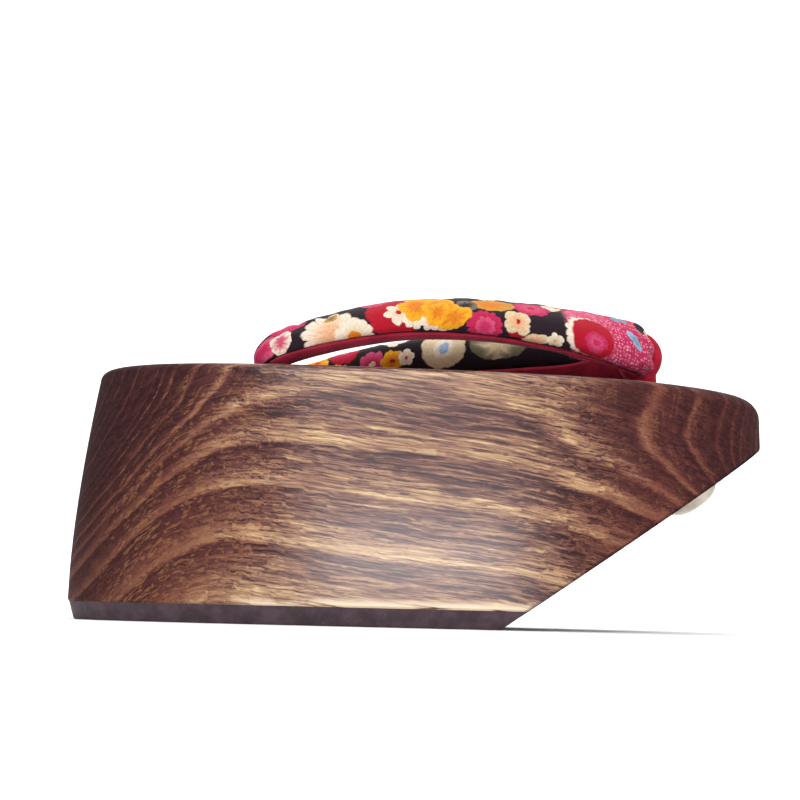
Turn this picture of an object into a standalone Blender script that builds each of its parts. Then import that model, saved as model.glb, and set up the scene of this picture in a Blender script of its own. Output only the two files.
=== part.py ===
# A block geta: a solid wooden platform with a slanted toe and a hollow underside, a rubber outsole,
# a padded V-shaped strap with a backing cloth, a front thong that holds it, and a pressed metal
# plate over the thong's knot. +X points to the toe and +Z up. The origin is on the floor, under the
# middle of the length and width.

import math

import bmesh
import bpy
from mathutils import Matrix, Vector

MM = 0.001
GAP = 0.3 * MM  # clearance between pieces that touch

# Platform outline, seen from above
HALF_LENGTH = 115.9 * MM
HALF_WIDTH = 50.0 * MM  # at the foot of the wood
HEEL_POWER = 3.0  # superellipse power: squarer at the heel
TOE_POWER = 2.6  # rounder at the toe
OUTLINE_POINTS = 96

# Platform heights and the lean of its walls
SOLE_THICKNESS = 5.4 * MM
PLATE_HEIGHT = 80.4 * MM  # top of the platform at mid length
PLATE_FALL = 3.0 * MM  # how much lower the plate is at the toe than at the heel
BACK_LEAN = 6.0 * MM  # how far the back leans in, from foot to plate
SIDE_LEAN = 3.5 * MM
LEAN_START = 0.12  # share of the height below which the wall is upright
LEAN_POWER = 1.6  # over 1 makes the wall bulge
FOOT_EASING = 0.5 * MM  # eased edge of the wood above the rubber
RIM_RADIUS = 3.0 * MM
TOE_RIM_RADIUS = 7.0 * MM
TOE_RIM_START = 0.060  # x where the rim starts to get rounder
WALL_SHARES = (0.0, 0.008, 0.12, 0.3, 0.5, 0.68, 0.85, 1.0)
RIM_TURNS = (30, 60, 90)

# Slanted underside of the toe
FRONT_EDGE_X = 23.4 * MM  # where the slant meets the floor
SLANT = math.radians(34.2)
NOSE_RADIUS = 8.0 * MM  # rounded lower edge of the nose
NOSE_CUTS = 4

# Rubber outsole
SOLE_DRAFT = 2.0 * MM
SOLE_EDGE = 0.6 * MM

# Hollow in the underside
HOLLOW_BACK, HOLLOW_FRONT = -67.3 * MM, -11.3 * MM
HOLLOW_HALF_WIDTH = 30.0 * MM
HOLLOW_TOP = 48.0 * MM
HOLLOW_DRAFT = 3.0 * MM
HOLLOW_CORNER_POWER = 6.0
HOLLOW_POINTS = 40

# Holes for the strap
FRONT_HOLE_TOP = Vector((77.9, 0.0, 79.4)) * MM
FRONT_HOLE_BOTTOM_X = 93.0 * MM
FRONT_HOLE_RADIUS = 5.0 * MM
REAR_HOLE_TOP = Vector((-51.5, 32.8, 81.0)) * MM
REAR_HOLE_BOTTOM = Vector((-49.3, 21.5, 48.0)) * MM
REAR_HOLE_RADIUS = 5.0 * MM
HOLE_POINTS = 24

# Padded strap from the middle of the V to a rear hole: centre, size and lean of each section
STRAP_COLUMNS = ("x", "y", "z", "width", "thickness", "lean")
STRAP_ROWS = (
    (75.2, 0.0, 95.2, 11.5, 7.0, 82),
    (75.2, 5.0, 95.4, 13.0, 8.0, 79),
    (73.6, 10.4, 95.9, 19.6, 10.8, 70),
    (66.8, 16.4, 96.3, 21.8, 11.8, 58),
    (55.0, 22.4, 97.5, 22.0, 12.2, 46),
    (38.7, 27.6, 99.0, 21.2, 12.4, 37),
    (18.7, 31.8, 99.8, 20.6, 12.6, 28),
    (-3.3, 34.4, 98.9, 19.8, 12.4, 22),
    (-21.3, 35.2, 95.8, 18.2, 12.0, 18),
    (-35.3, 35.2, 92.0, 16.6, 11.6, 14),
    (-45.0, 34.6, 88.6, 14.8, 11.6, 10),
    (-50.2, 33.6, 85.0, 12.4, 10.8, 5),
    (-51.5, 33.0, 81.6, 8.4, 8.4, 0),
)
STRAP_STEPS = 3  # sections between two rows

# Strap's tail down a rear hole: the padding ends, and its cord is knotted in the hollow
TAIL_COLUMNS = ("depth", "size")
TAIL_ROWS = (
    (3.2, 7.4),
    (9.0, 5.6),
    (34.0, 5.2),
    (36.8, 9.2),
    (39.4, 10.6),
    (41.8, 9.2),
    (43.4, 4.4),
)

# Backing cloth sewn to the underside of the strap, from seam to seam
SEAM_OUTER = math.radians(205)  # angle 180 is the strap's outer edge, so the seam lies below it
SEAM_INNER = math.radians(250)  # where the strap lies flat
SEAM_RISE = 0.85  # the inner seam climbs by this share of the lean
STRAP_ARC_POINTS = 17
BACKING_ARC_POINTS = 5
BACKING_THICKNESS = 1.4 * MM
BACKING_END_HEIGHT = 83.0 * MM  # the backing stops above the plate

# Front thong: a stuffed loop round the middle of the strap, and its stem
LOOP_WIDTH = 9.0 * MM
LOOP_CLEARANCE = 0.4 * MM
LOOP_COLUMNS = ("side", "thickness")
LOOP_ROWS = ((0, 5.2), (90, 3.0), (180, 2.8), (270, 3.4))  # degrees from the front, then mm
LOOP_STATIONS = 28
LOOP_SECTION_POINTS = 12
STEM_COLUMNS = ("along", "radius")
STEM_ROWS = ((-9.0, 4.7), (-4.0, 4.8), (0.5, 4.4), (6.0, 3.9), (33.5, 3.6))  # mm down the hole
STEM_TOP_SHIFT = 0.4 * MM
KNOT_RADIUS = 6.6 * MM
KNOT_HEIGHT = 3.4 * MM

# Pressed metal plate over the front knot
PLATE_CENTRE_X = 93.1 * MM
DOME_HALF_LENGTH, DOME_HALF_WIDTH = 10.6 * MM, 9.4 * MM
DOME_HEIGHT = 5.2 * MM
DOME_POWER = 3.2  # over 2 makes the dome flat on top
RIM_WIDTH = 3.0 * MM
SHEET = 0.8 * MM
DOME_SHARES = (0.25, 0.5, 0.7, 0.84, 0.94, 1.0)
DOME_POINTS = 28

# Nails of the metal plate
NAIL_OFFSET = 12.1 * MM  # from the plate's centre, along the slant
NAIL_SHANK_RADIUS = 0.7 * MM
NAIL_HEAD_RADIUS = 1.5 * MM
NAIL_HEAD_HEIGHT = 0.9 * MM
NAIL_LENGTH = 6.0 * MM
NAIL_POINTS = 12

UP = Vector((0.0, 0.0, 1.0))
SLANT_NORMAL = Vector((math.sin(SLANT), 0.0, -math.cos(SLANT)))
SLANT_ALONG = Vector((math.cos(SLANT), 0.0, math.sin(SLANT)))


def smooth_share(low, high, value):
    share = min(1.0, max(0.0, (value - low) / (high - low)))
    return share * share * (3 - 2 * share)


def rows_as_dicts(columns, rows):
    return [dict(zip(columns, row)) for row in rows]


def finish(name, colour, roughness, metallic=0.0):
    material = bpy.data.materials.new(name)
    material.use_nodes = True
    shader = material.node_tree.nodes["Principled BSDF"]
    shader.inputs["Base Color"].default_value = (*colour, 1.0)
    shader.inputs["Roughness"].default_value = roughness
    shader.inputs["Metallic"].default_value = metallic
    return material


def add_object(name, bm, material=None, sharp_angle=40):
    bmesh.ops.recalc_face_normals(bm, faces=bm.faces)
    mesh = bpy.data.meshes.new(name)
    bm.to_mesh(mesh)
    bm.free()
    mesh.shade_smooth()
    mesh.set_sharp_from_angle(angle=math.radians(sharp_angle))
    obj = bpy.data.objects.new(name, mesh)
    bpy.context.scene.collection.objects.link(obj)
    if material:
        mesh.materials.append(material)
    else:
        obj.hide_render = True
        obj.display_type = "WIRE"
    return obj


def skin_rings(bm, rings, closed=False):
    """Faces through rings of equal point count, capped at both ends unless the rings close up."""
    loops = [[bm.verts.new(point) for point in ring] for ring in rings]
    pairs = list(zip(loops, loops[1:]))
    if closed:
        pairs.append((loops[-1], loops[0]))
    for first, second in pairs:
        for i, j in zip(range(len(first)), [*range(1, len(first)), 0]):
            bm.faces.new((first[i], first[j], second[j], second[i]))
    if not closed:
        bm.faces.new(loops[0])
        bm.faces.new(loops[-1])


def loft(name, rings, material=None, closed=False):
    bm = bmesh.new()
    skin_rings(bm, rings, closed)
    return add_object(name, bm, material)


def cut(obj, *cutters):
    for cutter in cutters:
        modifier = obj.modifiers.new("cut_" + cutter.name, "BOOLEAN")
        modifier.operation = "DIFFERENCE"
        modifier.object = cutter


def circle(centre, axis, radius, count):
    """Points of a circle round an axis that leans in the XZ or YZ plane."""
    turn = UP.rotation_difference(axis)
    angles = [2 * math.pi * i / count for i in range(count)]
    return [centre + turn @ Vector((radius * math.cos(a), radius * math.sin(a), 0)) for a in angles]


def rod(name, start, end, radius, count, material=None):
    axis = (end - start).normalized()
    return loft(name, [circle(p, axis, radius, count) for p in (start, end)], material)


def superellipse(angle, power):
    """Point of the unit superellipse at this angle."""
    c, s = math.cos(angle), math.sin(angle)
    return (
        math.copysign(abs(c) ** (2 / power), c),
        math.copysign(abs(s) ** (2 / power), s),
    )


def plate_height(x):
    return PLATE_HEIGHT - PLATE_FALL * x / (2 * HALF_LENGTH)


def outline_point(angle, back_in, side_in, front_in):
    """Point of the platform's outline, drawn in at the back, the sides and the front."""
    to_toe = math.cos(angle) > 0
    x, y = superellipse(angle, TOE_POWER if to_toe else HEEL_POWER)
    reach = HALF_LENGTH - (front_in if to_toe else back_in)
    return x * reach, y * (HALF_WIDTH - side_in)


def outline_angles():
    return [2 * math.pi * i / OUTLINE_POINTS for i in range(OUTLINE_POINTS)]


def rim_radius(x):
    return RIM_RADIUS + (TOE_RIM_RADIUS - RIM_RADIUS) * smooth_share(TOE_RIM_START, HALF_LENGTH, x)


def wall_ring(share):
    """Ring of the platform's wall at this share of the way from the rubber to the rim."""
    lean = max(0.0, (share - LEAN_START) / (1 - LEAN_START)) ** LEAN_POWER
    easing = FOOT_EASING if share == 0 else 0.0
    foot = SOLE_THICKNESS + GAP
    ring = []
    for angle in outline_angles():
        x, y = outline_point(angle, BACK_LEAN * lean + easing, SIDE_LEAN * lean + easing, easing)
        top = plate_height(x) - rim_radius(x)
        ring.append(Vector((x, y, foot + share * (top - foot))))
    return ring


def rim_ring(degrees):
    """Ring of the rounded rim, from 0 degrees at the wall to 90 on the plate."""
    turn = math.radians(degrees)
    ring = []
    for angle in outline_angles():
        x, y = outline_point(angle, BACK_LEAN, SIDE_LEAN, 0.0)
        radius = rim_radius(x)
        inset = radius * (1 - math.cos(turn))
        x, y = outline_point(angle, BACK_LEAN + inset, SIDE_LEAN + inset, inset)
        ring.append(Vector((x, y, plate_height(x) - radius * (1 - math.sin(turn)))))
    return ring


def slice_off(bm, point, normal):
    """Cuts off what lies past a plane and closes the cut."""
    found = bmesh.ops.bisect_plane(
        bm,
        geom=[*bm.verts, *bm.edges, *bm.faces],
        plane_co=point,
        plane_no=normal,
        clear_outer=True,
    )
    edges = [e for e in found["geom_cut"] if isinstance(e, bmesh.types.BMEdge)]
    if edges:
        bmesh.ops.edgeloop_fill(bm, edges=edges)


def slice_slant(bm):
    slice_off(bm, Vector((FRONT_EDGE_X, 0, 0)), SLANT_NORMAL)


def round_nose(bm):
    """Rounds the nose's lower edge with planes that touch a cylinder lying across the nose."""
    x = HALF_LENGTH - NOSE_RADIUS
    rise = NOSE_RADIUS / math.cos(SLANT)
    centre = Vector((x, 0, (x - FRONT_EDGE_X) * math.tan(SLANT) + rise))
    low = SLANT - math.pi / 2  # direction of the slant's normal, seen from the side
    for i in range(NOSE_CUTS):
        angle = low * (1 - (i + 1) / (NOSE_CUTS + 1))
        normal = Vector((math.cos(angle), 0, math.sin(angle)))
        slice_off(bm, centre + normal * NOSE_RADIUS, normal)


def hollow_cutter():
    middle = (HOLLOW_BACK + HOLLOW_FRONT) / 2
    rings = []
    for z, draft in ((-SOLE_THICKNESS, 0.0), (HOLLOW_TOP, HOLLOW_DRAFT)):
        ring = []
        for i in range(HOLLOW_POINTS):
            x, y = superellipse(2 * math.pi * i / HOLLOW_POINTS, HOLLOW_CORNER_POWER)
            half_length = (HOLLOW_FRONT - HOLLOW_BACK) / 2 - draft
            ring.append(Vector((middle + x * half_length, y * (HOLLOW_HALF_WIDTH - draft), z)))
        rings.append(ring)
    return loft("hollow_cutter", rings)


def slant_point(x, out=0.0):
    """Point on the middle of the slant at this x, moved out along its normal."""
    z = (x - FRONT_EDGE_X) * math.tan(SLANT)
    return Vector((x, 0.0, z)) + SLANT_NORMAL * out


def front_hole_axis():
    return (slant_point(FRONT_HOLE_BOTTOM_X) - FRONT_HOLE_TOP).normalized()


def front_hole_cutter():
    reach = 12 * MM
    axis = front_hole_axis()
    start, end = FRONT_HOLE_TOP - axis * reach, slant_point(FRONT_HOLE_BOTTOM_X) + axis * reach
    return rod("front_hole_cutter", start, end, FRONT_HOLE_RADIUS, HOLE_POINTS)


def on_side(point, side):
    return Vector((point.x, point.y * side, point.z))


def rear_hole_axis(side):
    return (on_side(REAR_HOLE_BOTTOM, side) - on_side(REAR_HOLE_TOP, side)).normalized()


def rear_hole_cutter(name, side):
    reach = 10 * MM
    axis = rear_hole_axis(side)
    start = on_side(REAR_HOLE_TOP, side) - axis * reach
    end = on_side(REAR_HOLE_BOTTOM, side) + axis * reach
    return rod("rear_hole_cutter_" + name, start, end, REAR_HOLE_RADIUS, HOLE_POINTS)


def nail_places():
    centre = slant_point(PLATE_CENTRE_X)
    return {
        "upper": centre + SLANT_ALONG * NAIL_OFFSET,
        "lower": centre - SLANT_ALONG * NAIL_OFFSET,
    }


def nail_cutter(name, place):
    depth = NAIL_LENGTH + 2 * GAP
    start, end = place - SLANT_NORMAL * depth, place + SLANT_NORMAL * depth
    return rod("nail_cutter_" + name, start, end, NAIL_SHANK_RADIUS + GAP, NAIL_POINTS)


def make_platform(material, cutters):
    bm = bmesh.new()
    skin_rings(bm, [wall_ring(s) for s in WALL_SHARES] + [rim_ring(t) for t in RIM_TURNS])
    bmesh.ops.recalc_face_normals(bm, faces=bm.faces)
    slice_slant(bm)
    round_nose(bm)
    platform = add_object("wood_platform", bm, material)
    cut(platform, *cutters)
    return platform


def make_outsole(material, hollow):
    rings = []
    for inset, z in (
        (SOLE_DRAFT + SOLE_EDGE, 0.0),
        (SOLE_DRAFT, SOLE_EDGE),
        (FOOT_EASING, SOLE_THICKNESS),
    ):
        points = [outline_point(a, inset, inset, inset) for a in outline_angles()]
        rings.append([Vector((x, y, z)) for x, y in points])
    bm = bmesh.new()
    skin_rings(bm, rings)
    bmesh.ops.recalc_face_normals(bm, faces=bm.faces)
    slice_slant(bm)
    outsole = add_object("rubber_outsole", bm, material)
    cut(outsole, hollow)
    return outsole


def between(before, start, end, after, t):
    """Number at the share t from start to end, on a smooth curve through all four."""
    slope = end - before
    bend = 2 * before - 5 * start + 4 * end - after
    twist = 3 * (start - end) + after - before
    return start + 0.5 * t * (slope + t * (bend + t * twist))


def smooth_rows(rows, steps):
    """Rows of numbers with more rows put between them on a smooth curve through all of them."""
    mirrored = [-value if column == "y" else value for column, value in zip(STRAP_COLUMNS, rows[1])]
    padded = [mirrored, *rows, rows[-1]]
    found = []
    for four in zip(padded, padded[1:], padded[2:], padded[3:]):
        for step in range(steps):
            found.append([between(*values, step / steps) for values in zip(*four)])
    found.append(list(rows[-1]))
    return found


def strap_stations():
    """Sections of one side of the strap, from the middle of the V down into the rear hole."""
    stations = []
    for row in rows_as_dicts(STRAP_COLUMNS, smooth_rows(STRAP_ROWS, STRAP_STEPS)):
        stations.append({
            "centre": Vector((row["x"], row["y"], row["z"])) * MM,
            "width": row["width"] * MM,
            "thickness": row["thickness"] * MM,
            "lean": math.radians(row["lean"]),
        })
    for row in rows_as_dicts(TAIL_COLUMNS, TAIL_ROWS):
        size = row["size"] * MM
        stations.append({
            "centre": REAR_HOLE_TOP + rear_hole_axis(1) * row["depth"] * MM,
            "width": size,
            "thickness": size,
            "lean": 0.0,
        })
    return stations


def is_backed(station):
    return station["centre"].z > BACKING_END_HEIGHT


def add_strap_frames(stations):
    """Gives each section its across direction, to the inner edge raised by the lean, and its face."""
    steep = 0.5  # where the path is steeper than this, the face turns with it
    face = UP
    for i, station in enumerate(stations):
        before = stations[i - 1]["centre"] if i else on_side(stations[1]["centre"], -1)
        after = stations[min(i + 1, len(stations) - 1)]["centre"]
        along = (after - before).normalized()
        upright = UP - along * UP.dot(along)
        if upright.length < steep:
            upright = face - along * face.dot(along)
        face = upright.normalized()
        across = face.cross(along)
        turn = Matrix.Rotation(station["lean"], 3, along)
        station["across"], station["face"] = turn @ across, turn @ face


def arc(station, inset, start, end, count):
    """Points on the section's oval, drawn in by inset, from one angle to another."""
    half_width = station["width"] / 2 - inset
    half_thickness = station["thickness"] / 2 - inset
    angles = [start + (end - start) * i / (count - 1) for i in range(count)]
    return [
        station["centre"]
        + station["across"] * half_width * math.cos(a)
        + station["face"] * half_thickness * math.sin(a)
        for a in angles
    ]


def inner_seam(station):
    return SEAM_INNER + SEAM_RISE * station["lean"]


def strap_ring(station):
    """Padded section, with its underside drawn in where the backing cloth lies."""
    inset = BACKING_THICKNESS + GAP if is_backed(station) else 0.0
    start, end = SEAM_OUTER, inner_seam(station)
    top = arc(station, 0.0, end - 2 * math.pi, start, STRAP_ARC_POINTS)
    if not inset:
        margin = (end - start) / (BACKING_ARC_POINTS + 1)
        start, end = start + margin, end - margin
    return top + arc(station, inset, start, end, BACKING_ARC_POINTS)


def backing_ring(station):
    """Thin layer under the padded section, from seam to seam."""
    margin = 2 * GAP / station["width"]
    start, end = SEAM_OUTER + margin, inner_seam(station) - margin
    outer = arc(station, 0.0, start, end, BACKING_ARC_POINTS)
    return outer + arc(station, BACKING_THICKNESS, end, start, BACKING_ARC_POINTS)


def both_sides(half_rings):
    """Rings from one rear end through the middle of the V to the other, mirrored across Y."""
    mirrored = [[on_side(p, -1) for p in ring] for ring in half_rings]
    return mirrored[:0:-1] + half_rings


def make_strap(strap_material, backing_material):
    stations = strap_stations()
    add_strap_frames(stations)
    loft("padded_strap", both_sides([strap_ring(s) for s in stations]), strap_material)
    backed = [s for s in stations if is_backed(s)]
    loft("strap_backing", both_sides([backing_ring(s) for s in backed]), backing_material)
    return stations[0]


def loop_thickness(degrees):
    """Thickness of the thong's loop at this turn round the strap, between the rows of its table."""
    rows = [*LOOP_ROWS, (360, LOOP_ROWS[0][1])]
    for (side, thickness), (next_side, next_thickness) in zip(rows, rows[1:]):
        if side <= degrees <= next_side:
            share = smooth_share(side, next_side, degrees)
            return (thickness + (next_thickness - thickness) * share) * MM


def loop_rings(middle):
    """Rings of the stuffed loop round the middle section of the strap."""
    half_height = middle["width"] / 2 + LOOP_CLEARANCE
    half_depth = middle["thickness"] / 2 + LOOP_CLEARANCE
    rings = []
    for i in range(LOOP_STATIONS):
        angle = 2 * math.pi * i / LOOP_STATIONS
        forward, upward = middle["face"] * math.cos(angle), middle["across"] * math.sin(angle)
        outward = (forward * half_height + upward * half_depth).normalized()
        half = loop_thickness(math.degrees(angle)) / 2
        centre = middle["centre"] + forward * half_depth + upward * half_height + outward * half
        ring = []
        for k in range(LOOP_SECTION_POINTS):
            a = 2 * math.pi * k / LOOP_SECTION_POINTS
            sideways = Vector((0, LOOP_WIDTH / 2 * math.sin(a), 0))
            ring.append(centre + outward * half * math.cos(a) + sideways)
        rings.append(ring)
    return rings


def make_front_thong(material, middle):
    axis = front_hole_axis()
    rings = []
    for row in rows_as_dicts(STEM_COLUMNS, STEM_ROWS):
        along, radius = row["along"] * MM, row["radius"] * MM
        if along < 0:
            centre = FRONT_HOLE_TOP - UP * along - Vector((STEM_TOP_SHIFT, 0, 0))
            rings.append(circle(centre, -UP, radius, LOOP_SECTION_POINTS))
        else:
            centre = FRONT_HOLE_TOP + axis * along
            rings.append(circle(centre, axis, radius, LOOP_SECTION_POINTS))
    for share, out in ((0.75, 0.5 * MM), (1.0, KNOT_HEIGHT / 2), (0.7, KNOT_HEIGHT)):
        centre = slant_point(PLATE_CENTRE_X, out)
        rings.append(circle(centre, SLANT_NORMAL, KNOT_RADIUS * share, LOOP_SECTION_POINTS))
    stem = loft("thong_stem", rings)
    thong = loft("front_thong", loop_rings(middle), material, closed=True)
    join = thong.modifiers.new("join_stem", "BOOLEAN")
    join.operation = "UNION"
    join.object = stem
    return thong


def oval_on_slant(half_length, half_width, out):
    centre = slant_point(PLATE_CENTRE_X, out)
    angles = [2 * math.pi * i / DOME_POINTS for i in range(DOME_POINTS)]
    return [
        centre + SLANT_ALONG * half_length * math.cos(a) + Vector((0, half_width * math.sin(a), 0))
        for a in angles
    ]


def dome_rings(shrink, foot, height):
    """Ovals of a dome's skin from its crown to its foot."""
    rings = []
    for share in DOME_SHARES:
        out = foot + height * (1 - share**DOME_POWER)
        half_length, half_width = DOME_HALF_LENGTH - shrink, DOME_HALF_WIDTH - shrink
        rings.append(oval_on_slant(half_length * share, half_width * share, out))
    return rings


def make_metal_plate(material, cutters):
    outer = dome_rings(0.0, GAP + SHEET, DOME_HEIGHT - SHEET)
    inner = dome_rings(SHEET, GAP, DOME_HEIGHT - SHEET)
    edge_length, edge_width = DOME_HALF_LENGTH + RIM_WIDTH, DOME_HALF_WIDTH + RIM_WIDTH
    rim = [oval_on_slant(edge_length, edge_width, out) for out in (GAP + SHEET, GAP)]
    plate = loft("metal_toe_plate", outer + rim + inner[::-1], material)
    cut(plate, *cutters)
    return plate


def make_nail(name, place, material):
    seat = GAP + SHEET + GAP  # the head rests on the metal plate
    profile = (
        (NAIL_SHANK_RADIUS * 0.4, -NAIL_LENGTH),
        (NAIL_SHANK_RADIUS, -NAIL_LENGTH * 0.8),
        (NAIL_SHANK_RADIUS, seat),
        (NAIL_HEAD_RADIUS, seat),
        (NAIL_HEAD_RADIUS * 0.8, seat + NAIL_HEAD_HEIGHT * 0.65),
        (NAIL_HEAD_RADIUS * 0.4, seat + NAIL_HEAD_HEIGHT),
    )
    rings = [circle(place + SLANT_NORMAL * out, SLANT_NORMAL, r, NAIL_POINTS) for r, out in profile]
    return loft("plate_nail_" + name, rings, material)


def main():
    for obj in list(bpy.data.objects):
        bpy.data.objects.remove(obj, do_unlink=True)

    wood = finish("scorched_wood", (0.16, 0.085, 0.055), 0.38)
    rubber = finish("dark_rubber", (0.045, 0.030, 0.034), 0.75)
    print_cloth = finish("printed_crepe", (0.35, 0.05, 0.10), 0.85)
    backing_cloth = finish("crimson_backing", (0.20, 0.012, 0.030), 0.9)
    velvet = finish("red_velvet", (0.40, 0.010, 0.035), 0.9)
    metal = finish("nickel_plate", (0.70, 0.66, 0.58), 0.25, 1.0)

    sides = {"left": 1, "right": -1}
    places = nail_places()
    hollow = hollow_cutter()
    nail_cutters = [nail_cutter(name, place) for name, place in places.items()]
    holes = [front_hole_cutter()] + [rear_hole_cutter(name, side) for name, side in sides.items()]

    make_platform(wood, [hollow, *holes, *nail_cutters])
    make_outsole(rubber, hollow)
    middle = make_strap(print_cloth, backing_cloth)
    make_front_thong(velvet, middle)
    make_metal_plate(metal, nail_cutters)
    for name, place in places.items():
        make_nail(name, place, metal)


main()
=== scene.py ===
from math import atan2, copysign, cos, exp, pi, radians, sin, tan, tau

import bmesh
import bpy
from mathutils import Matrix, Vector, noise


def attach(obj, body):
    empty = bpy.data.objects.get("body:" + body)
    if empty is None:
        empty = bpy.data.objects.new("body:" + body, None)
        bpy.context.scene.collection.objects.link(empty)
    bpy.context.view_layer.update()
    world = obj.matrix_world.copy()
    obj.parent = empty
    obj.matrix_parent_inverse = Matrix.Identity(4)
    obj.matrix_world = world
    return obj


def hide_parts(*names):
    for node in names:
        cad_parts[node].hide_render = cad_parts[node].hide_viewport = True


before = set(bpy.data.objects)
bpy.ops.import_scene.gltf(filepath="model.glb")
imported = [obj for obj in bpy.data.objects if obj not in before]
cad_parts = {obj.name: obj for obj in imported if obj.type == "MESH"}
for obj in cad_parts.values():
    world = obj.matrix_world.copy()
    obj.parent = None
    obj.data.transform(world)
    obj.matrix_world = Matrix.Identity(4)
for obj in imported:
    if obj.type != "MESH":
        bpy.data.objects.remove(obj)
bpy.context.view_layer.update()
mm = 0.001
upward = Vector((0, 0, 1))
print("frame loaded")


# small helpers for meshes
def edgesOf(verts):
    return list(dict.fromkeys(e for v in verts for e in v.link_edges))


def growRing(bm, edges):
    made = bmesh.ops.extrude_edge_only(bm, edges=edges)["geom"]
    verts = [g for g in made if isinstance(g, bmesh.types.BMVert)]
    fresh = set(verts)
    return verts, [e for e in edgesOf(verts) if set(e.verts) <= fresh]


def loft(bm, segments, rings, place):
    # rings extruded one from another; the angle round the ring is kept in a layer that extrudes copy
    layers = bm.verts.layers.float
    turn = layers.get("turn") or layers.new("turn")
    verts = bmesh.ops.create_circle(bm, segments=segments, radius=1.0)["verts"]
    for vert in verts:
        vert[turn] = atan2(vert.co.y, vert.co.x)
    first = edges = edgesOf(verts)
    for i, ring in enumerate(rings):
        if i:
            verts, edges = growRing(bm, edges)
        for vert in verts:
            vert.co = place(vert[turn], ring)
    return first, edges


def closeHoles(bm):
    bmesh.ops.holes_fill(bm, edges=[e for e in bm.edges if e.is_boundary], sides=0)


def smoothPiece(piece, sharpAngle=35):
    piece.data.shade_smooth()
    piece.data.set_sharp_from_angle(angle=radians(sharpAngle))


def toPiece(name, bm, sharpAngle=35):
    bmesh.ops.recalc_face_normals(bm, faces=bm.faces)
    mesh = bpy.data.meshes.new(name)
    bm.to_mesh(mesh)
    bm.free()
    piece = bpy.data.objects.new(name, mesh)
    bpy.context.scene.collection.objects.link(piece)
    smoothPiece(piece, sharpAngle)
    return piece


def setAll(thing, settings):
    for key, setting in settings.items():
        setattr(thing, key, setting)
    return thing


def addModifier(piece, name, kind, **settings):
    setAll(piece.modifiers.new(name, kind), settings)


def bakeModifiers(piece):
    graph = bpy.context.evaluated_depsgraph_get()
    mesh = bpy.data.meshes.new_from_object(piece.evaluated_get(graph))
    mesh.name = piece.name
    piece.modifiers.clear()
    piece.data = mesh


def carve(piece, cutters):
    for cutter in cutters:
        addModifier(piece, "carve", "BOOLEAN", operation="DIFFERENCE", solver="EXACT", object=cutter)
    bakeModifiers(piece)
    smoothPiece(piece)


def dress(piece, material, node):
    piece.data.materials.clear()
    piece.data.materials.append(material)
    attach(piece, "root")
    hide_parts(node)


def ease(low, high, value):
    share = min(1.0, max(0.0, (value - low) / (high - low)))
    return share * share * (3 - 2 * share)


def mirrored(point, side):
    return Vector((point.x, point.y * side, point.z))


# small helpers for shader nodes
def feed(tree, socket, value):
    if isinstance(value, bpy.types.NodeSocket):
        tree.links.new(value, socket)
    else:
        socket.default_value = value


def addNode(tree, kind, *values, **settings):
    made = setAll(tree.nodes.new("ShaderNode" + kind), settings)
    for socket, value in zip(made.inputs, values):
        feed(tree, socket, value)
    return made


def calc(tree, operation, *values, clamp=False):
    return addNode(tree, "Math", *values, operation=operation, use_clamp=clamp).outputs[0]


def times(tree, first, *others):
    for other in others:
        first = calc(tree, "MULTIPLY", first, other)
    return first


def plus(tree, first, second):
    return calc(tree, "ADD", first, second)


def minus(tree, first, second):
    return calc(tree, "SUBTRACT", first, second)


def over(tree, first, second):
    return calc(tree, "DIVIDE", first, second)


def timesPlus(tree, value, scale, added, clamp=False):
    return calc(tree, "MULTIPLY_ADD", value, scale, added, clamp=clamp)


def vectorCalc(tree, operation, *values):
    made = addNode(tree, "VectorMath", *values, operation=operation)
    return made.outputs["Value" if operation in ("LENGTH", "DOT_PRODUCT") else "Vector"]


def joinAxes(tree, x=0.0, y=0.0, z=0.0):
    return addNode(tree, "CombineXYZ", x, y, z).outputs[0]


def splitAxes(tree, vector):
    return addNode(tree, "SeparateXYZ", vector).outputs


def spread(tree, *ranges):
    # takes a value, where it is low and high, and what comes out there instead of 0 and 1
    return addNode(tree, "MapRange", *ranges, interpolation_type="SMOOTHSTEP").outputs[0]


def blend(tree, factor, under, upper, mode="MIX"):
    made = addNode(tree, "Mix", factor, data_type="RGBA", blend_type=mode)
    for index, value in ((6, under), (7, upper)):  # the colour sockets of a Mix node
        feed(tree, made.inputs[index], value)
    return made.outputs[2]


def cloudy(tree, place, scale, detail=2.0, rough=0.5):
    made = addNode(tree, "TexNoise", place)
    for label, value in (("Scale", scale), ("Detail", detail), ("Roughness", rough)):
        made.inputs[label].default_value = value
    return made.outputs[0]


def ramp(tree, value, stops):
    made = addNode(tree, "ValToRGB", value)
    elements = made.color_ramp.elements
    while len(elements) < len(stops):
        elements.new(0.5)
    for element, (place, colour) in zip(elements, stops):
        element.position = place
        element.color = (*colour, 1)
    return made.outputs[0]


def newGroup(name, takes, gives):
    # what it takes and gives is listed by kind of socket
    tree = bpy.data.node_groups.new(name, "ShaderNodeTree")
    for side, sockets in (("INPUT", takes), ("OUTPUT", gives)):
        for kind, labels in sockets.items():
            for label in labels.split():
                tree.interface.new_socket(name=label, in_out=side, socket_type="NodeSocket" + kind)
    return tree, tree.nodes.new("NodeGroupInput").outputs, tree.nodes.new("NodeGroupOutput").inputs


def useGroup(tree, group, **values):
    made = addNode(tree, "Group", node_tree=group)
    for label, value in values.items():
        feed(tree, made.inputs[label], value)
    return made.outputs


def newMaterial(name, sockets):
    material = bpy.data.materials.new(name)
    material.use_nodes = True
    tree = material.node_tree
    shader = tree.nodes["Principled BSDF"]
    for label, value in sockets.items():
        shader.inputs[label].default_value = value
    return material, tree, shader.inputs


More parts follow.
